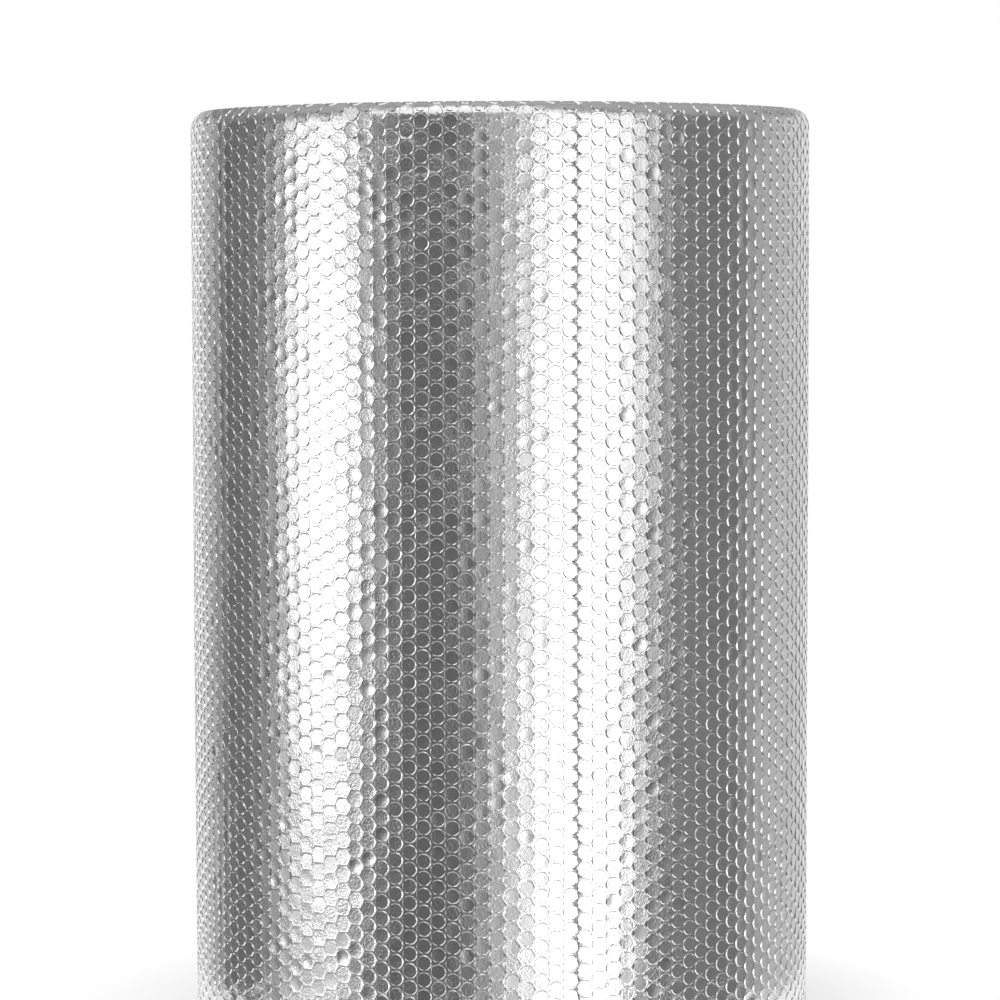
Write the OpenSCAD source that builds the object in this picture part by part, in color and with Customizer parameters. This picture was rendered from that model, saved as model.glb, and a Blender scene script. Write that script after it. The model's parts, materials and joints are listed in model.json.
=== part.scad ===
// A roll of foil bubble insulation standing on its end: one sheet wound on itself round an open bore.
// Millimetres, +Z up. The origin is on the floor, on the axis of the bore. The loose end is at the back.

/* [Roll] */
// Width of the sheet, which is the height of the roll as it stands
sheet_w = 610; // [200:10:1500]
// Diameter of the open bore that the winding mandrel leaves
bore_d = 76; // [50:1:160]
// Number of times the sheet goes round
turns = 40; // [8:1:60]
// Radius to which the outermost turns are drawn in at each end
shoulder_r = 10; // [4:0.5:14]
// Direction, seen from above, of the step where each turn climbs onto the one below
climb_dir = 125; // [100:1:160]
// Angle over which each turn climbs
climb_arc = 40; // [24:1:60]

/* [Sheet] */
// Thickness of the sheet over its bubbles, as it lies in the roll
sheet_t = 3.95; // [2.5:0.05:6]
// Air between one turn and the next
turn_gap = 0.3; // [0.2:0.05:0.8]
// How far each face of the sheet is pressed in where it climbs
climb_press = 0.05; // [0.02:0.01:0.2]

/* [Bubbles] */
// Distance from one upright column of bubbles to the next
column_pitch = 9.3; // [6:0.1:24]
// Direction in which one of the columns stands, seen from above
column_dir = -0.8; // [-1.2:0.1:1.2]
// How far the bubbles stand out of the film between them
bubble_relief = 1.8; // [0.6:0.1:2.2]
// Width of the valley between two columns, at its floor
valley_w = 1; // [0.4:0.1:3]
// How far each bubble's wall leans back from the valley
wall_lean = 0.7; // [0.2:0.1:1.2]

/* [Hidden] */
$fn = 180;

bore_r = bore_d / 2;
turn_pitch = sheet_t + turn_gap;
roll_r = turn_r(turns - 1) + sheet_t;
columns = round(2 * PI * roll_r / column_pitch);

// The turns are circles round the bore. Across the climb they are circles round a centre moved
// sideways by climb_shift, which makes each of them start on one turn and end on the next.
climb_shift = turn_pitch / (2 * sin(climb_arc / 2));
// How far cutting shapes run past what they cut
past = 5;
// Corner radius of the sector that marks out the climb
sector_r = (roll_r + past) / cos(climb_arc / 2);

// Inner radius of a turn, counted from 0 at the bore
function turn_r(turn) = bore_r + turn * turn_pitch;

// Radius, about the moved centre, at which a surface that starts the climb at radius r crosses it
function climb_r(r) = sqrt(r * r + turn_pitch * r + climb_shift * climb_shift);

// Radius of the roll's outer surface at an angle measured from the middle of the climb
function surface_r(angle) =
    abs(angle) > climb_arc / 2
        ? roll_r
        : climb_shift * sin(angle)
            + sqrt(pow(climb_r(roll_r - turn_pitch), 2) - pow(climb_shift * cos(angle), 2));

// An angle brought into the range from -180 to 180
function turned(angle) = angle - 360 * round(angle / 360);

module ring(inner_r, outer_r) {
    difference() {
        circle(r = outer_r);
        circle(r = inner_r);
    }
}

module climb_sector() {
    polygon([
        [0, 0],
        sector_r * [cos(climb_arc / 2), -sin(climb_arc / 2)],
        sector_r * [cos(climb_arc / 2), sin(climb_arc / 2)]
    ]);
}

// The round stretch of every turn
module round_stretch() {
    difference() {
        for (turn = [0 : turns - 1])
            ring(turn_r(turn), turn_r(turn) + sheet_t);
        climb_sector();
    }
}

// Where each turn climbs onto the next. The outermost turn ends before it, as the sheet's loose end.
module climb_stretch() {
    intersection() {
        translate([0, climb_shift])
            for (turn = [0 : turns - 2])
                ring(
                    climb_r(turn_r(turn) + climb_press),
                    climb_r(turn_r(turn) + sheet_t - climb_press)
                );
        climb_sector();
    }
}

// The valley between two columns of bubbles, cut from outside at a surface of radius r
module valley(r) {
    floor_x = r - bubble_relief;
    polygon([
        [floor_x, -valley_w / 2],
        [r, -valley_w / 2 - wall_lean],
        [r + past, -valley_w / 2 - wall_lean],
        [r + past, valley_w / 2 + wall_lean],
        [r, valley_w / 2 + wall_lean],
        [floor_x, valley_w / 2]
    ]);
}

module valleys() {
    for (column = [0 : columns - 1]) {
        dir = column_dir + (column + 0.5) * 360 / columns;
        rotate(dir)
            valley(surface_r(turned(dir - climb_dir)));
    }
}

// The sheet seen from above, with the bubbles of its outermost turn as ridges
module wound_sheet() {
    difference() {
        rotate(climb_dir) {
            round_stretch();
            climb_stretch();
        }
        valleys();
    }
}

// What the drawn-in edge leaves off the top end, as a ring outside a quarter circle
module shoulder_waste() {
    rotate_extrude()
        translate([roll_r - shoulder_r, sheet_w - shoulder_r])
            difference() {
                square(shoulder_r + past);
                circle(r = shoulder_r);
            }
}

module foil_bubble_roll() {
    color("silver")
        difference() {
            linear_extrude(sheet_w)
                wound_sheet();
            shoulder_waste();
            translate([0, 0, sheet_w])
                mirror([0, 0, 1])
                    shoulder_waste();
        }
}

foil_bubble_roll();
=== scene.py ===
import json
import math

import bmesh
import bpy
import numpy as np
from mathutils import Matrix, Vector


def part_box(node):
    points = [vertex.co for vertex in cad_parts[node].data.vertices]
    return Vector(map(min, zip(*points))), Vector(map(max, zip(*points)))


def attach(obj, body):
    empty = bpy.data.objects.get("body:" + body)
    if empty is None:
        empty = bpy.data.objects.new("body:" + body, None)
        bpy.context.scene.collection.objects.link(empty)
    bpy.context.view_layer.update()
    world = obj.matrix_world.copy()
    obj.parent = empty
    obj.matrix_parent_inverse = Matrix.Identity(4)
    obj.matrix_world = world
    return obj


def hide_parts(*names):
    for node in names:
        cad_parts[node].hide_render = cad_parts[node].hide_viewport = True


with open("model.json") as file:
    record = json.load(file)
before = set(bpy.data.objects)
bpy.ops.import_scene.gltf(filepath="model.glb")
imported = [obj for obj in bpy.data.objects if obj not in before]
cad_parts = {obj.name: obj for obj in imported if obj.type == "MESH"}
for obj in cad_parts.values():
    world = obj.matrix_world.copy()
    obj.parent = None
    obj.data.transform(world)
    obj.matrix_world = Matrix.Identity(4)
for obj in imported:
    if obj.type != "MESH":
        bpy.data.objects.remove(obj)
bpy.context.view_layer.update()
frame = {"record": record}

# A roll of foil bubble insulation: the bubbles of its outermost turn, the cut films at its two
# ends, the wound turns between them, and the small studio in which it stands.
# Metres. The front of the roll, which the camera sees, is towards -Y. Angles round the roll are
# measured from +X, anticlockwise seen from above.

mm = 0.001
# Points closer than this are one point
same_place = 0.02 * mm

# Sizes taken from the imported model
roll_low, roll_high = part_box("foil_bubble_roll")
roll_h = roll_high.z - roll_low.z
roll_r = (roll_high.x - roll_low.x) / 2
bore_mount = next(m for m in frame["record"]["mounts"] if m["name"] == "mandrel_bore")
bore_r = bore_mount["dims"]["r_mm"] * mm

# The sheet, as it is made
sheet_t = 3.95 * mm
turn_gap = 0.3 * mm
turn_pitch = sheet_t + turn_gap
turns = round((roll_r - bore_r - sheet_t) / turn_pitch) + 1
film_t = 0.18 * mm

# Where every turn climbs onto the one below, and the sheet's loose end, at the back
climb_start = math.radians(105)
climb_arc = math.radians(40)

# The lattice of bubbles: upright columns, each second one half a bubble lower
columns = 140
column_angle = 2 * math.pi / columns
column_w = 2 * math.pi * roll_r / columns
bubble_pitch = column_w / math.cos(math.radians(30))
bubble_relief = 0.58 * mm
bubble_base_r = 5.04 * mm
bubble_top_r = 4.4 * mm
# Ring inside a bubble's flat top, where the film can sink or crumple
bubble_inner_r = 2.5 * mm
# How far the web rises between two bubbles, and where three meet
web_rise = 0.03 * mm
web_corner_rise = 0.12 * mm
# Direction of column 0, and how far its topmost whole bubble lies below the sheet's edge
first_column = math.radians(-90.8)
top_row_drop = 6.4 * mm

# How the sheet's two edges are drawn in
edge_curl_angle = math.radians(65)
top_curl_r = 8 * mm
low_curl_r = 3 * mm
# How much rounder the top edge is at the left and at the right of the front
left_curl_growth = 7 * mm
right_curl_growth = 4 * mm
top_curl_from = roll_h - top_curl_r * math.sin(edge_curl_angle)
low_curl_from = low_curl_r * math.sin(edge_curl_angle)
flat_high = top_curl_from + top_curl_r * edge_curl_angle
flat_low = low_curl_from - low_curl_r * edge_curl_angle
rows = round(roll_h / bubble_pitch) + 3
lowest_row = roll_h - top_row_drop - (rows - 2) * bubble_pitch

rng = np.random.default_rng(11)


def deselect_all():
    bpy.ops.object.select_all(action="DESELECT")


def edit_mode():
    bpy.ops.object.mode_set(mode="EDIT")


def object_mode():
    bpy.ops.object.mode_set(mode="OBJECT")


def started(name):
    """The primitive that was just added, under its own name."""
    piece = bpy.context.active_object
    piece.name = name
    piece.data.name = name
    return piece


def stretch(x=1.0, y=1.0, z=1.0):
    bpy.ops.transform.resize(value=(x, y, z), center_override=(0, 0, 0))


def shift(x=0.0, y=0.0, z=0.0):
    bpy.ops.transform.translate(value=(x, y, z))


def add_modifier(piece, kind, **settings):
    bpy.context.view_layer.objects.active = piece
    modifier = piece.modifiers.new(kind.lower(), kind)
    for key, value in settings.items():
        setattr(modifier, key, value)
    bpy.ops.object.modifier_apply(modifier=modifier.name)


def repeat(piece, count, step):
    """Copies the piece in a row, and welds each copy to the next."""
    add_modifier(
        piece, "ARRAY", count=count, use_relative_offset=False, use_constant_offset=True,
        constant_offset_displace=step, use_merge_vertices=True, merge_threshold=same_place,
    )


def get_points(piece):
    points = np.empty(len(piece.data.vertices) * 3)
    piece.data.vertices.foreach_get("co", points)
    return points.reshape(-1, 3)


def set_points(piece, points):
    piece.data.vertices.foreach_set("co", points.ravel())
    piece.data.update()


def copied(piece, name):
    new = piece.copy()
    new.data = piece.data.copy()
    new.name = name
    new.data.name = name
    bpy.context.collection.objects.link(new)
    return new


def face_outwards(piece):
    deselect_all()
    piece.select_set(True)
    bpy.context.view_layer.objects.active = piece
    edit_mode()
    bpy.ops.mesh.select_all(action="SELECT")
    bpy.ops.mesh.normals_make_consistent(inside=False)
    object_mode()


def shade_smooth(piece):
    deselect_all()
    piece.select_set(True)
    bpy.context.view_layer.objects.active = piece
    bpy.ops.object.shade_smooth()


def finish_piece(piece, material):
    piece.data.materials.clear()
    piece.data.materials.append(material)
    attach(piece, "root")
    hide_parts("foil_bubble_roll")
    return piece


# The film

def film_wrinkle_group():
    """Fine crumples and rolling marks of a thin film, as a height and as a mask."""
    group = bpy.data.node_groups.new("film_wrinkles", "ShaderNodeTree")
    for name, kind in (("Crumple size", "NodeSocketFloat"), ("Mark size", "NodeSocketFloat")):
        group.interface.new_socket(name, in_out="INPUT", socket_type=kind)
    for name in ("Height", "Marks"):
        group.interface.new_socket(name, in_out="OUTPUT", socket_type="NodeSocketFloat")
    nodes, links = group.nodes, group.links
    enters = nodes.new("NodeGroupInput")
    leaves = nodes.new("NodeGroupOutput")
    place = nodes.new("ShaderNodeTexCoord")
    crumples = nodes.new("ShaderNodeTexNoise")
    crumples.inputs["Detail"].default_value = 3
    crumples.inputs["Roughness"].default_value = 0.55
    crumples.inputs["Distortion"].default_value = 0.6
    marks = nodes.new("ShaderNodeTexNoise")
    marks.inputs["Detail"].default_value = 4
    links.new(place.outputs["Object"], crumples.inputs["Vector"])
    links.new(place.outputs["Object"], marks.inputs["Vector"])
    links.new(enters.outputs["Crumple size"], crumples.inputs["Scale"])
    links.new(enters.outputs["Mark size"], marks.inputs["Scale"])
    links.new(crumples.outputs["Fac"], leaves.inputs["Height"])
    links.new(marks.outputs["Fac"], leaves.inputs["Marks"])
    return group


film_wrinkles = film_wrinkle_group()


def film_material(
        name, colour, dull_colour, metallic, roughness, crumple_size, depth, mark_size, by_bubble=False):
    """Metallised film: bright, faintly crumpled, with duller patches. by_bubble takes the strength of
    the crumples from the piece's own bubbles."""
    material = bpy.data.materials.new(name)
    material.use_nodes = True
    nodes, links = material.node_tree.nodes, material.node_tree.links
    film = nodes["Principled BSDF"]
    film.inputs["Metallic"].default_value = metallic
    wrinkles = nodes.new("ShaderNodeGroup")
    wrinkles.node_tree = film_wrinkles
    wrinkles.inputs["Crumple size"].default_value = crumple_size
    wrinkles.inputs["Mark size"].default_value = mark_size
    tint = nodes.new("ShaderNodeMix")
    tint.data_type = "RGBA"
    tint.inputs["A"].default_value = (*colour, 1)
    tint.inputs["B"].default_value = (*dull_colour, 1)
    links.new(wrinkles.outputs["Marks"], tint.inputs["Factor"])
    links.new(tint.outputs["Result"], film.inputs["Base Color"])
    gloss = nodes.new("ShaderNodeMapRange")
    gloss.inputs["To Min"].default_value = roughness * 0.7
    gloss.inputs["To Max"].default_value = roughness * 1.3
    links.new(wrinkles.outputs["Marks"], gloss.inputs["Value"])
    links.new(gloss.outputs["Result"], film.inputs["Roughness"])
    bump = nodes.new("ShaderNodeBump")
    bump.inputs["Strength"].default_value = 1.0
    bump.inputs["Distance"].default_value = depth
    if by_bubble:
        strength = nodes.new("ShaderNodeAttribute")
        strength.attribute_name = "crumple"
        height = nodes.new("ShaderNodeMath")
        height.operation = "MULTIPLY"
        links.new(wrinkles.outputs["Height"], height.inputs[0])
        links.new(strength.outputs["Fac"], height.inputs[1])
        links.new(height.outputs["Value"], bump.inputs["Height"])
    else:
        links.new(wrinkles.outputs["Height"], bump.inputs["Height"])
    links.new(bump.outputs["Normal"], film.inputs["Normal"])
    return material


bubble_film = film_material(
    "bubble_film", (0.93, 0.925, 0.93), (0.86, 0.855, 0.86), metallic=1.0, roughness=0.13,
    crumple_size=620, depth=0.22 * mm, mark_size=60, by_bubble=True,
)
cut_film = film_material(
    "cut_film", (0.9, 0.9, 0.9), (0.72, 0.72, 0.73), metallic=0.4, roughness=0.3,
    crumple_size=500, depth=0.05 * mm, mark_size=90,
)
inner_film = film_material(
    "inner_film", (0.84, 0.84, 0.85), (0.66, 0.66, 0.67), metallic=0.7, roughness=0.28,
    crumple_size=240, depth=0.1 * mm, mark_size=40,
)


# The outermost turn

def bubble_cell():
    """One bubble and the web round it, out to the six-sided border that it shares with its neighbours."""
    deselect_all()
    bpy.ops.mesh.primitive_circle_add(vertices=12, radius=bubble_inner_r, fill_type="TRIFAN")
    cell = started("bubble_cell")
    edit_mode()
    bpy.ops.mesh.select_all(action="SELECT")
    shift(z=bubble_relief)
    bpy.ops.mesh.region_to_loop()
    bpy.ops.mesh.extrude_edges_move()
    stretch(bubble_top_r / bubble_inner_r, bubble_top_r / bubble_inner_r)
    bpy.ops.mesh.mark_sharp()
    bpy.ops.mesh.extrude_edges_move()
    stretch(bubble_base_r / bubble_top_r, bubble_base_r / bubble_top_r)
    shift(z=-bubble_relief)
    bpy.ops.mesh.mark_sharp()
    bpy.ops.mesh.extrude_edges_move()
    stretch(bubble_pitch / 2 / bubble_base_r, bubble_pitch / 2 / bubble_base_r)
    shift(z=web_rise)
    object_mode()
    points = get_points(cell)
    around = np.degrees(np.arctan2(points[:, 1], points[:, 0]))
    on_border = np.hypot(points[:, 0], points[:, 1]) > bubble_pitch / 2 - same_place
    at_corner = on_border & (np.abs((around + 30) % 60 - 30) < 1)
    points[at_corner, :2] *= 2 / math.sqrt(3)
    points[at_corner, 2] = web_corner_rise
    set_points(cell, points)
    return cell


def flat_sheet(name, column_count):
    """Columns of bubbles, side by side, as the sheet is made. Column 0 lies at x = 0."""
    sheet = bubble_cell()
    sheet.name = name
    edit_mode()
    bpy.ops.mesh.select_all(action="SELECT")
    bpy.ops.mesh.duplicate_move(TRANSFORM_OT_translate={"value": (column_w, bubble_pitch / 2, 0)})
    bpy.ops.mesh.select_all(action="SELECT")
    bpy.ops.mesh.remove_doubles(threshold=same_place)
    shift(y=lowest_row)
    object_mode()
    repeat(sheet, rows, (0, bubble_pitch, 0))
    repeat(sheet, column_count // 2, (2 * column_w, 0, 0))
    return sheet


def eased(share):
    """0 to 1, with a soft start and a soft end."""
    share = np.clip(share, 0, 1)
    return share * share * (3 - 2 * share)


def surface_r(angle):
    """Radius of the outermost turn's crowns. It starts one turn lower and climbs at the back."""
    return roll_r - turn_pitch * (1 - eased((angle - climb_start) / climb_arc))


def top_curl(angle):
    """Radius to which the top edge is drawn in, at each direction."""
    sideways = np.cos(angle)
    growth = np.where(sideways < 0, left_curl_growth, right_curl_growth)
    return top_curl_r + growth * sideways ** 2


slack_depth = 0.11 * mm


def slack(angle, z):
    """How far the wound sheet stands in from a true cylinder: long, shallow waves."""
    return slack_depth * (
        np.sin(5 * angle + 3 * z / roll_h + 0.6)
        + 0.8 * np.sin(9 * angle - 5 * z / roll_h + 2.1)
        + 0.6 * np.sin(14 * angle + 9 * z / roll_h)
    )


# Creases pressed into the film by handling: direction in degrees and height of the one end, the same
# of the other end, depth and half width, in millimetres
creases = (
    (-116.6, 604, -114.0, 584, 1.0, 3.4),
    (-118.0, 577, -113.6, 574, 0.7, 2.6),
    (-106.0, 588, -103.5, 566, 0.4, 2.4),
    (-64.0, 596, -59.0, 584, 0.4, 2.0),
    (20.0, 560, 26.0, 520, 0.5, 2.5),
    (62.0, 240, 58.0, 180, 0.5, 2.5),
    (150.0, 430, 156.0, 400, 0.6, 2.5),
    (205.0, 90, 199.0, 130, 0.5, 2.5),
)


# The film has a seam, pressed in between this column and the next
seam_column = 5
seam_depth = 0.5 * mm
# Half width of the seam, in columns
seam_half_w = 0.3

# A patch near the top where hands have pressed the bubbles in, taller than it is wide
patch_dir = math.radians(-109.3)
patch_z = 540 * mm
patch_r = 36 * mm
patch_slimness = 1.6
patch_depth = 0.34 * mm


def dented_patch(angle, height):
    """How far the middle of a bubble is pressed in there."""
    aside = (angle - patch_dir + math.pi) % (2 * math.pi) - math.pi
    away = np.hypot(patch_slimness * aside * roll_r, height - patch_z)
    return patch_depth * (1 - eased(away / patch_r))


def pressed_in(angle, height):
    """How far the creases press the film in at a direction and a height."""
    depth = np.zeros_like(height)
    around = (angle - first_column + math.pi) % (2 * math.pi) - math.pi + first_column
    along = around * roll_r
    for from_dir, from_z, to_dir, to_z, crease_depth, half_width in creases:
        start = np.array([math.radians(from_dir) * roll_r, from_z * mm])
        run = np.array([math.radians(to_dir) * roll_r, to_z * mm]) - start
        share = ((along - start[0]) * run[0] + (height - start[1]) * run[1]) / (run @ run)
        share = np.clip(share, 0, 1)
        away = np.hypot(along - start[0] - share * run[0], height - start[1] - share * run[1])
        depth = np.maximum(depth, crease_depth * mm * (1 - eased(away / (half_width * mm))))
    return depth


def wind(sheet, first):
    """Winds a flat sheet round the roll, from column first on. Each bubble stays flat, and the web
    between them bends."""
    points = get_points(sheet)
    flat_x, flat_y, rise = points.T.copy()
    nearest = np.round(flat_x / column_w)
    half_step = np.where(nearest % 2 == 0, 0.0, bubble_pitch / 2)
    row = np.round((flat_y - lowest_row - half_step) / bubble_pitch)
    from_centre_x = flat_x - nearest * column_w
    from_centre_y = flat_y - (row * bubble_pitch + lowest_row + half_step)
    in_bubble = np.hypot(from_centre_x, from_centre_y) < bubble_base_r + 0.2 * mm

    column = (nearest + first).astype(int)
    seed_of = (column % (columns + 2)) * rows_kept + row.astype(int)
    lean_x = bubble_lean_x[seed_of]
    lean_y = bubble_lean_y[seed_of]
    height = bubble_height[seed_of]
    dimple = bubble_dimple[seed_of]
    share = rise / bubble_relief
    rise = rise * height + share * (from_centre_x * lean_x + from_centre_y * lean_y)
    out = np.hypot(from_centre_x, from_centre_y) / bubble_top_r
    on_top = out < sinking_share
    sunk = dimple + dented_patch(first_column + (nearest + first) * column_angle, flat_y)
    uneven = film_uneven * rng.normal(0, 1, len(rise)) * bubble_crumple[seed_of]
    # The points that the cuts made come in no fixed order, so they get no random height
    on_cut = (flat_y > flat_high - same_place) | (flat_y < flat_low + same_place)
    on_cut = on_cut | (flat_x > flat_x.max() - same_place)
    uneven = np.where(on_cut, 0, uneven)
    rise = rise - np.where(on_top, sunk * (1 - out ** 2) + uneven, 0)
    crumple = sheet.data.attributes.new("crumple", "FLOAT", "POINT")
    crumple.data.foreach_set("value", bubble_crumple[seed_of])

    seam_at = np.abs((flat_x / column_w + first) % columns - seam_column - 0.5)
    rise = rise - np.where(~in_bubble & (seam_at < seam_half_w), seam_depth, 0)

    column_at = first_column + (nearest + first) * column_angle
    angle = np.where(in_bubble, column_at, first_column + (flat_x / column_w + first) * column_angle)
    radius = surface_r(angle) - bubble_relief + rise - pressed_in(angle, flat_y)
    aside = np.where(in_bubble, from_centre_x, 0)

    z = flat_y.copy()
    outward = np.ones_like(z)
    upward = np.zeros_like(z)
    drawn_in = np.zeros_like(z)
    top_r = top_curl(angle)
    top_from = roll_h - top_r * math.sin(edge_curl_angle)
    for end, curl_from, curl_r in ((1, top_from, top_r), (-1, low_curl_from, low_curl_r)):
        bent = np.clip(end * (flat_y - curl_from) / curl_r, 0, None)
        inside = bent > 0
        z = np.where(inside, curl_from + end * curl_r * np.sin(bent), z)
        drawn_in = np.where(inside, curl_r * (1 - np.cos(bent)), drawn_in)
        outward = np.where(inside, np.cos(bent), outward)
        upward = np.where(inside, end * np.sin(bent), upward)
    base = radius - rise - drawn_in - slack(angle, z)
    reach = base + rise * outward
    z = z + rise * upward
    points[:, 0] = reach * np.cos(angle) - aside * np.sin(angle)
    points[:, 1] = reach * np.sin(angle) + aside * np.cos(angle)
    points[:, 2] = z + roll_low.z
    set_points(sheet, points)


def cut_off(sheet, place, beyond):
    """Cuts the flat sheet straight across its bubbles and drops what lies beyond."""
    deselect_all()
    sheet.select_set(True)
    bpy.context.view_layer.objects.active = sheet
    edit_mode()
    bpy.ops.mesh.select_all(action="SELECT")
    bpy.ops.mesh.bisect(plane_co=place, plane_no=beyond, clear_outer=True)
    object_mode()


rows_kept = rows + 2
bubble_count = (columns + 2) * rows_kept
bubble_lean_x = rng.normal(0, math.radians(0.5), bubble_count)
bubble_lean_y = rng.normal(0, math.radians(0.8), bubble_count)
bubble_height = rng.normal(1, 0.03, bubble_count)
bubble_dimple = rng.normal(0.03, 0.05, bubble_count) * mm
bubble_dimple += np.where(rng.random(bubble_count) < 0.15, rng.uniform(0.08, 0.3, bubble_count), 0) * mm
# How strongly the film over each bubble is crumpled
bubble_crumple = rng.uniform(0.3, 1.1, bubble_count)
film_uneven = 0.012 * mm
# Share of a bubble's top, from its middle, over which the film sinks and crumples
sinking_share = 0.8

sector_columns = 20
sector_count = columns // sector_columns
# The outermost turn starts under its own loose end, and the last sector runs up to that end
start_column = 74
last_columns = 24
loose_end_angle = climb_start + 2 * math.pi


def outer_turn():
    for sector in range(sector_count):
        first = start_column + sector * sector_columns
        is_last = sector == sector_count - 1
        piece = flat_sheet(f"outer_turn_{sector + 1}", last_columns if is_last else sector_columns)
        cut_off(piece, (0, flat_high, 0), (0, 1, 0))
        cut_off(piece, (0, flat_low, 0), (0, -1, 0))
        if is_last:
            end_column = (loose_end_angle - first_column) / column_angle - first
            cut_off(piece, (end_column * column_w, 0, 0), (1, 0, 0))
        wind(piece, first)
        shade_smooth(piece)
        finish_piece(piece, bubble_film)


outer_turn()


# The cut edges of the sheet

edge_unit = 2 * column_w
edge_depth = 9 * mm
# Profile of the film over one cut bubble: distance along the sheet, and height off the flat film
cut_bubble = tuple(
    (x * mm, w * mm)
    for x, w in ((4.2, 0.3), (4.9, 2.5), (5.9, 3.5), (12.7, 3.5), (13.7, 2.5), (14.4, 0.3))
)
film_web = 0.3 * mm
# Share of their height to which the cut bubbles are pressed flat, in the outermost turn of the ends
# and at the sheet's loose end
end_flattening = 0.72
loose_end_flattening = 0.5
# How far the turns' edges lie below the roll's end, how much less at the rim, and the rim's width
end_inset = 0.9 * mm
rim_lift = 0.7 * mm
rim_w = 60 * mm
# How far the edge of one turn sways up and down
edge_sway = 0.25 * mm


def select_far_edge(piece):
    """Selects the upright edge that lies furthest along the sheet, and nothing else."""
    bpy.ops.mesh.select_all(action="DESELECT")
    mesh = bmesh.from_edit_mesh(piece.data)
    far = max(v.co.x for v in mesh.verts)
    for v in mesh.verts:
        v.select_set(v.co.x > far - same_place)
    mesh.select_flush(True)
    bmesh.update_edit_mesh(piece.data)


def film_strip(name, start, steps):
    """An upright strip of film along the sheet. start and steps are (along, off the flat film)."""
    deselect_all()
    bpy.ops.mesh.primitive_plane_add(size=1)
    strip = started(name)
    edit_mode()
    bpy.ops.mesh.select_mode(type="VERT")
    bpy.ops.mesh.select_all(action="SELECT")
    bpy.ops.transform.rotate(value=math.radians(90), orient_axis="X", center_override=(0, 0, 0))
    stretch(x=steps[0][0] - start[0], z=edge_depth)
    shift(x=(steps[0][0] + start[0]) / 2, y=start[1], z=-edge_depth / 2)
    for (along, off), (next_along, next_off) in zip(steps, steps[1:]):
        select_far_edge(strip)
        bpy.ops.mesh.extrude_edges_move(
            TRANSFORM_OT_translate={"value": (next_along - along, next_off - off, 0)})
    object_mode()
    return strip


def cut_edge(name, unit_count):
    """The sheet's cut edge, laid out straight: a flat film, and the film of the bubbles cut open."""
    over = film_strip("bubble_side", (0, film_web), (*cut_bubble, (edge_unit, film_web)))
    under = film_strip(name, (0, 0), [(edge_unit * part / 3, 0) for part in (1, 2, 3)])
    deselect_all()
    over.select_set(True)
    under.select_set(True)
    bpy.context.view_layer.objects.active = under
    bpy.ops.object.join()
    repeat(under, unit_count, (edge_unit, 0, 0))
    add_modifier(under, "SOLIDIFY", thickness=film_t, offset=0)
    return under


def units_in_turn(turn):
    """Stretches of cut edge in one turn. The outermost turn stops at the loose end."""
    share = 1 - climb_arc / (2 * math.pi) if turn == turns - 1 else 1
    return 2 * math.pi * share * (bore_r + (turn + 0.5) * turn_pitch) / edge_unit


turn_units = np.array([units_in_turn(turn) for turn in range(turns)])
turn_starts = np.concatenate(([0], np.cumsum(turn_units)))
turn_unevenness = rng.normal(0, 0.3, turns) * mm


def wind_cut_edge(piece, end):
    """Winds the straight cut edge into the turns at one end of the roll. end is 1 at the top, -1 below."""
    points = get_points(piece)
    along, off, depth = points.T.copy()
    unit = along / edge_unit
    turn = np.clip(np.searchsorted(turn_starts, unit, side="right") - 1, 0, turns - 1)
    share = (unit - turn_starts[turn]) / turn_units[turn]
    full = np.where(turn == turns - 1, 2 * math.pi - climb_arc, 2 * math.pi)
    angle = climb_start + climb_arc + share * full
    climbing = eased((angle - loose_end_angle) / climb_arc)
    outermost = (turn == turns - 1) | ((turn == turns - 2) & (angle > loose_end_angle))
    off = np.where(outermost, off * end_flattening, off)
    radius = bore_r + (turn + climbing) * turn_pitch + off
    curl_r = top_curl(angle) if end == 1 else low_curl_r
    edge_inset = curl_r * (1 - math.cos(edge_curl_angle))
    near_rim = eased((radius - roll_r + rim_w) / rim_w)
    pressed = radius - edge_inset * near_rim
    drop = turn_unevenness[turn] + edge_sway * np.sin(3 * angle + turn)
    z = roll_h - end_inset + rim_lift * near_rim ** 3 - np.where(outermost, 0, drop) + depth
    points[:, 0] = pressed * np.cos(angle)
    points[:, 1] = pressed * np.sin(angle)
    points[:, 2] = z if end == 1 else roll_h - z
    set_points(piece, points)
    face_outwards(piece)


def stand_cut_edge(piece):
    """Stands the straight cut edge up at the sheet's loose end."""
    points = get_points(piece)
    along, off, depth = points.T.copy()
    radius = roll_r - sheet_t + off * loose_end_flattening
    angle = climb_start + depth / roll_r
    points[:, 0] = radius * np.cos(angle)
    points[:, 1] = radius * np.sin(angle)
    points[:, 2] = low_curl_from + along * (top_curl_from - low_curl_from) / along.max()
    set_points(piece, points)
    face_outwards(piece)


def cut_edges():
    straight = cut_edge("straight_cut_edge", int(turn_starts[-1]))
    for name, end in (("end_turns_top", 1), ("end_turns_bottom", -1)):
        piece = copied(straight, name)
        wind_cut_edge(piece, end)
        finish_piece(piece, cut_film)
    bpy.data.objects.remove(straight)
    loose_end = cut_edge("loose_end", round(roll_h / edge_unit))
    stand_cut_edge(loose_end)
    finish_piece(loose_end, cut_film)


cut_edges()


# The wound turns between the two ends

# How far the lining stops short of the roll's ends
lining_inset = 0.4 * mm
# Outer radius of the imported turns, inside the drawn-in edges
packed_r = roll_r - 8 * mm


def bore_wall_r(angle):
    """Radius of the innermost turn's inner face. It steps out at the sheet's inner end."""
    past = (angle - climb_start - climb_arc) % (2 * math.pi)
    return bore_r + turn_pitch * eased((past - 2 * math.pi + climb_arc) / climb_arc)


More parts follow.
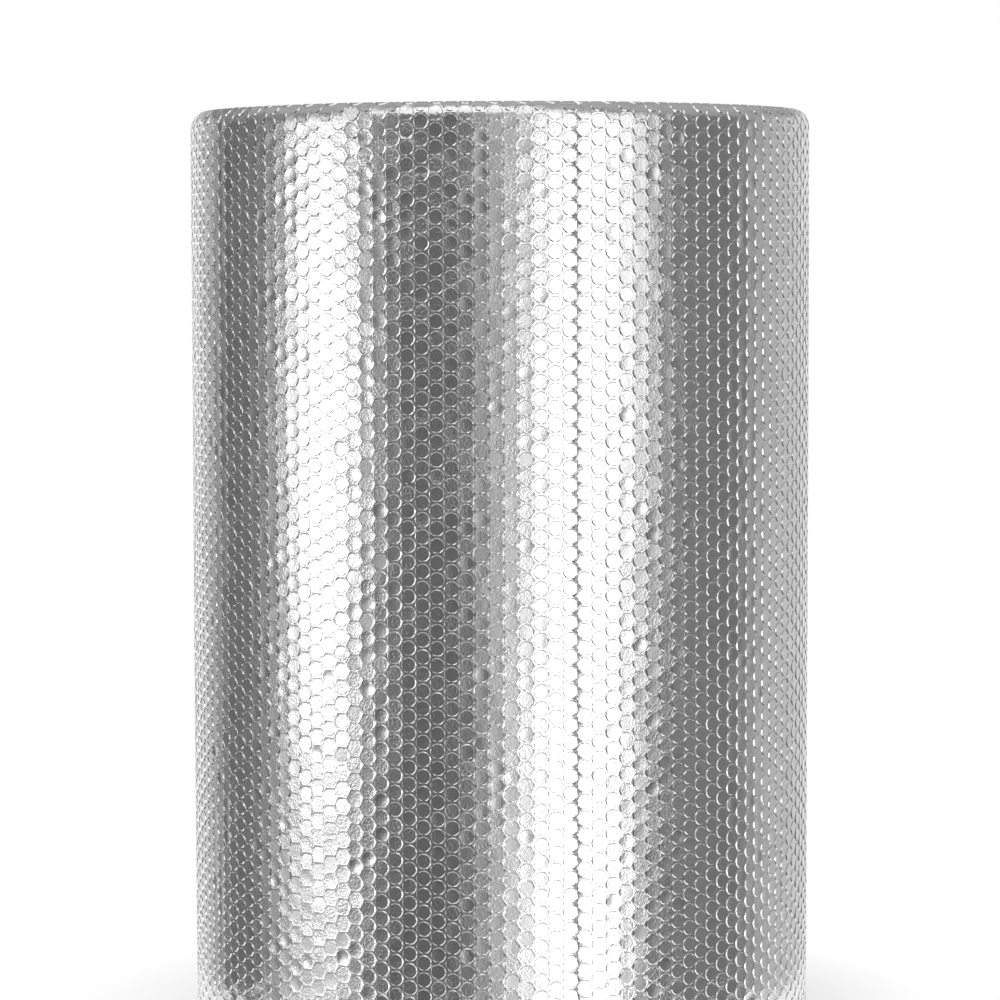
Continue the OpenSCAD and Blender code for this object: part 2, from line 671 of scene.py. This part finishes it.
def bore_outline(name, out):
    """The bore's outline as a loop, moved out by a given distance."""
    deselect_all()
    bpy.ops.mesh.primitive_circle_add(vertices=180, radius=bore_r)
    loop = started(name)
    points = get_points(loop)
    angle = np.arctan2(points[:, 1], points[:, 0])
    points[:, :2] *= ((bore_wall_r(angle) + out) / bore_r)[:, None]
    set_points(loop, points)
    return loop


def bore_lining():
    """The inner face of the innermost turn."""
    lining = bore_outline("bore_lining", film_t)
    edit_mode()
    bpy.ops.mesh.select_all(action="SELECT")
    shift(z=lining_inset)
    bpy.ops.mesh.extrude_edges_move(TRANSFORM_OT_translate={"value": (0, 0, roll_h - 2 * lining_inset)})
    bpy.ops.mesh.select_all(action="SELECT")
    bpy.ops.mesh.normals_make_consistent(inside=False)
    object_mode()
    add_modifier(lining, "SOLIDIFY", thickness=film_t, offset=1)
    face_outwards(lining)
    finish_piece(lining, inner_film)


def packed_turns():
    """The turns below the cut edges, packed tight."""
    packed = bore_outline("packed_turns", 0.5 * film_t)
    edit_mode()
    bpy.ops.mesh.select_all(action="SELECT")
    shift(z=edge_depth)
    bpy.ops.mesh.extrude_edges_move()
    stretch(packed_r / bore_r, packed_r / bore_r)
    bpy.ops.mesh.select_all(action="SELECT")
    bpy.ops.mesh.extrude_region_move(TRANSFORM_OT_translate={"value": (0, 0, roll_h - 2 * edge_depth)})
    object_mode()
    points = get_points(packed)
    reach = np.hypot(points[:, 0], points[:, 1])
    beyond = reach > roll_r / 2
    points[beyond, :2] *= (packed_r / reach[beyond])[:, None]
    set_points(packed, points)
    face_outwards(packed)
    finish_piece(packed, inner_film)


bore_lining()
packed_turns()


# The studio

def in_studio(piece):
    piece.visible_camera = False
    piece.visible_shadow = False
    piece.visible_diffuse = False


def studio_light():
    """Light or shade of the studio's panels: their own tone, a little uneven where they are dark."""
    material = bpy.data.materials.new("studio_light")
    material.use_nodes = True
    nodes, links = material.node_tree.nodes, material.node_tree.links
    nodes.clear()
    leaves = nodes.new("ShaderNodeOutputMaterial")
    glow = nodes.new("ShaderNodeEmission")
    tone = nodes.new("ShaderNodeAttribute")
    tone.attribute_name = "tone"
    place = nodes.new("ShaderNodeTexCoord")
    cloth = nodes.new("ShaderNodeTexNoise")
    cloth.inputs["Scale"].default_value = 6
    cloth.inputs["Detail"].default_value = 3
    unevenness = nodes.new("ShaderNodeMapRange")
    unevenness.inputs["From Min"].default_value = 0.3
    unevenness.inputs["From Max"].default_value = 1.0
    unevenness.inputs["To Min"].default_value = 4.0
    unevenness.inputs["To Max"].default_value = 0.2
    from_middle = nodes.new("ShaderNodeMath")
    from_middle.operation = "SUBTRACT"
    from_middle.inputs[1].default_value = 0.5
    swing = nodes.new("ShaderNodeMath")
    swing.operation = "MULTIPLY_ADD"
    swing.inputs[2].default_value = 1.0
    level = nodes.new("ShaderNodeMath")
    level.operation = "MULTIPLY"
    links.new(place.outputs["Object"], cloth.inputs["Vector"])
    links.new(cloth.outputs["Fac"], from_middle.inputs[0])
    links.new(tone.outputs["Fac"], unevenness.inputs["Value"])
    links.new(from_middle.outputs["Value"], swing.inputs[0])
    links.new(unevenness.outputs["Result"], swing.inputs[1])
    links.new(swing.outputs["Value"], level.inputs[0])
    links.new(tone.outputs["Fac"], level.inputs[1])
    links.new(level.outputs["Value"], glow.inputs["Strength"])
    links.new(glow.outputs["Emission"], leaves.inputs["Surface"])
    return material


panel_light = studio_light()


def studio_panel(name, left, right, left_tone, right_tone, profile):
    """A curved panel. left and right are degrees round the roll from the camera, + to the right.
    profile goes from its foot to its head: distance from the roll's axis, height, share of the tone."""
    steps = max(2, round((right - left) / 4))
    verts, faces, tones = [], [], []
    for i in range(steps + 1):
        direction = math.radians(left + (right - left) * i / steps)
        for away, z, share in profile:
            verts.append((away * math.sin(direction), -away * math.cos(direction), z))
            tones.append(share * (left_tone + (right_tone - left_tone) * i / steps))
    rise = len(profile)
    for i in range(steps):
        for j in range(rise - 1):
            foot = i * rise + j
            faces.append((foot, foot + rise, foot + rise + 1, foot + 1))
    mesh = bpy.data.meshes.new(name)
    mesh.from_pydata(verts, [], faces)
    mesh.attributes.new("tone", "FLOAT", "POINT").data.foreach_set("value", tones)
    mesh.materials.append(panel_light)
    panel = bpy.data.objects.new(name, mesh)
    bpy.context.collection.objects.link(panel)
    in_studio(panel)


wall_away = 3.2
studio_floor_z = -1.1
wall_top_z = 1.3
ceiling_z = 2.6
# Name, left edge, right edge, tone at the left, tone at the right, then the shares of the tone that
# are left at the wall's foot, low down and at its head
panels = (
    ("left_back_grey", -180, -150, 1.0, 0.9, 0.9, 1, 1),
    ("left_side_fade", -150, -122, 0.85, 0.22, 0.8, 1, 1),
    ("left_flag", -122, -98, 0.11, 0.19, 0.8, 1, 1),
    ("left_soft_start", -98, -84, 0.2, 0.5, 0.6, 0.9, 0.5),
    ("left_soft_edge", -84, -75, 0.55, 1.5, 0.3, 0.7, 0.4),
    ("left_softbox", -75, -58, 2.5, 2.7, 0.08, 0.28, 0.28),
    ("left_hard_edge", -58, -52, 2.1, 0.95, 0.1, 0.25, 0.35),
    ("front_soft_edge", -52, -40, 0.58, 0.27, 0.25, 0.4, 0.7),
    ("front_flag_edge", -40, -33, 0.19, 0.12, 0.7, 0.9, 1.1),
    ("front_flag", -33, -15, 0.12, 0.12, 0.9, 1, 1.3),
    ("front_dark_grey", -15, -8, 0.15, 0.24, 0.9, 1, 1.1),
    ("front_grey", -8, 3, 0.34, 0.52, 0.9, 1, 0.8),
    ("right_soft_edge", 3, 12, 0.57, 0.95, 1.0, 1.1, 0.5),
    ("right_hard_edge", 12, 17, 1.0, 1.6, 1.0, 1, 0.7),
    ("right_softbox_near", 17, 25.4, 2.3, 2.6, 1.0, 1, 0.5),
    ("softbox_gap", 25.4, 28.2, 0.2, 0.2, 1.0, 1, 1),
    ("right_softbox_far", 28.2, 42, 2.6, 1.7, 1.0, 1, 0.5),
    ("right_soft_side", 42, 54, 1.2, 0.68, 0.35, 0.5, 1),
    ("right_softbox_edge", 54, 62, 0.55, 0.24, 0.3, 0.4, 1),
    ("right_flag", 62, 97, 0.19, 0.17, 0.8, 1, 1),
    ("right_side_edge", 97, 108, 0.24, 0.46, 0.9, 1, 1),
    ("right_side_grey", 108, 150, 0.42, 0.7, 0.9, 1, 1),
    ("right_back_grey", 150, 180, 0.85, 1.0, 0.9, 1, 1),
)
for name, left, right, left_tone, right_tone, foot_share, low_share, head_share in panels:
    wall_and_floor = (
        (0.15, studio_floor_z, 0.5),
        (wall_away, studio_floor_z, foot_share),
        (wall_away, -0.4, low_share),
        (wall_away, 0.05, 1),
        (wall_away, 0.45, 1),
        (wall_away, 0.75, head_share),
        (wall_away, wall_top_z, head_share),
    )
    studio_panel(name, left, right, left_tone, right_tone, wall_and_floor)
high_wall = ((wall_away, wall_top_z, 1), (wall_away, ceiling_z, 1))
studio_panel("left_high_flag", -180, -60, 0.25, 0.25, high_wall)
studio_panel("right_high_flag", 25, 180, 0.35, 0.35, high_wall)
studio_panel("ceiling", -180, 180, 0.4, 0.4, ((wall_away, ceiling_z, 1), (0.01, ceiling_z, 1)))
overhead_z = ceiling_z - 0.1
studio_panel("overhead_softbox", -44, 16, 1.1, 1.1, ((2.9, overhead_z, 1), (1.2, overhead_z, 1)))


def seen_directly(nodes, links):
    """A value that is 1 where the camera sees something, also in a mirror or through glass, else 0."""
    path = nodes.new("ShaderNodeLightPath")
    seen = nodes.new("ShaderNodeMath")
    seen.operation = "MAXIMUM"
    seen_or_through = nodes.new("ShaderNodeMath")
    seen_or_through.operation = "MAXIMUM"
    links.new(path.outputs["Is Camera Ray"], seen.inputs[0])
    links.new(path.outputs["Is Glossy Ray"], seen.inputs[1])
    links.new(seen.outputs["Value"], seen_or_through.inputs[0])
    links.new(path.outputs["Is Transmission Ray"], seen_or_through.inputs[1])
    return seen_or_through.outputs["Value"]


table_r = roll_r + 90 * mm
# Share of full white that the table and the world's own light have where nothing adds to it
dim_white = 0.55


def pale_table():
    """A small pale table, which keeps the roll's shadow and is as white as the backdrop at its rim."""
    deselect_all()
    bpy.ops.mesh.primitive_circle_add(vertices=96, radius=table_r, fill_type="NGON")
    table = started("table")
    material = bpy.data.materials.new("table_top")
    material.use_nodes = True
    nodes, links = material.node_tree.nodes, material.node_tree.links
    top = nodes["Principled BSDF"]
    top.inputs["Base Color"].default_value = (0.86, 0.86, 0.86, 1)
    top.inputs["Roughness"].default_value = 0.8
    top.inputs["Specular IOR Level"].default_value = 0.1
    white = nodes.new("ShaderNodeEmission")
    share = nodes.new("ShaderNodeMath")
    share.operation = "MULTIPLY"
    place = nodes.new("ShaderNodeTexCoord")
    from_axis = nodes.new("ShaderNodeVectorMath")
    from_axis.operation = "LENGTH"
    whiteness = nodes.new("ShaderNodeMapRange")
    whiteness.inputs["From Min"].default_value = roll_r
    whiteness.inputs["From Max"].default_value = table_r
    whiteness.inputs["To Min"].default_value = dim_white
    whiteness.inputs["To Max"].default_value = 1.0
    links.new(place.outputs["Object"], from_axis.inputs[0])
    links.new(from_axis.outputs["Value"], whiteness.inputs["Value"])
    links.new(whiteness.outputs["Result"], share.inputs[1])
    mix = nodes.new("ShaderNodeMixShader")
    links.new(seen_directly(nodes, links), share.inputs[0])
    links.new(share.outputs["Value"], mix.inputs["Fac"])
    links.new(top.outputs["BSDF"], mix.inputs[1])
    links.new(white.outputs["Emission"], mix.inputs[2])
    links.new(mix.outputs["Shader"], nodes["Material Output"].inputs["Surface"])
    table.data.materials.append(material)


pale_table()


def area_lamp(name, place, size, power):
    lamp = bpy.data.lights.new(name, "AREA")
    lamp.size = size
    lamp.energy = power
    lamp_object = bpy.data.objects.new(name, lamp)
    lamp_object.location = place
    aim = Vector((0, 0, roll_h / 2)) - Vector(place)
    lamp_object.rotation_euler = aim.to_track_quat("-Z", "Y").to_euler()
    bpy.context.collection.objects.link(lamp_object)
    lamp_object.visible_glossy = False


area_lamp("key_lamp", (-1.6, -1.8, 2.6), 1.6, 60)
area_lamp("fill_lamp", (1.8, -1.2, 2.2), 1.6, 30)

world = bpy.data.worlds.new("white_backdrop")
bpy.context.scene.world = world
world.use_nodes = True
nodes, links = world.node_tree.nodes, world.node_tree.links
sky = nodes["Background"]
level = nodes.new("ShaderNodeMapRange")
level.inputs["To Min"].default_value = dim_white
level.inputs["To Max"].default_value = 1.0
links.new(seen_directly(nodes, links), level.inputs["Value"])
links.new(level.outputs["Result"], sky.inputs["Strength"])
sky.inputs["Color"].default_value = (1, 1, 1, 1)

# The camera, at the photograph's distance, height and tilt
camera_away = 12 * roll_r
# How far the camera lies below the roll's upper end, as a share of its distance
camera_drop = 0.0318
camera_tilt = math.radians(4.19)
camera_roll = math.radians(0.15)
camera_data = bpy.data.cameras.new("camera")
camera_data.lens = 132.6
camera_data.sensor_width = 36
camera_data.clip_end = 30
camera = bpy.data.objects.new("camera", camera_data)
camera.location = (0, -camera_away, roll_h - camera_drop * camera_away)
camera.rotation_euler = (math.radians(90) - camera_tilt, camera_roll, 0)
bpy.context.collection.objects.link(camera)
bpy.context.scene.camera = camera
bpy.context.scene.view_settings.view_transform = "Standard"
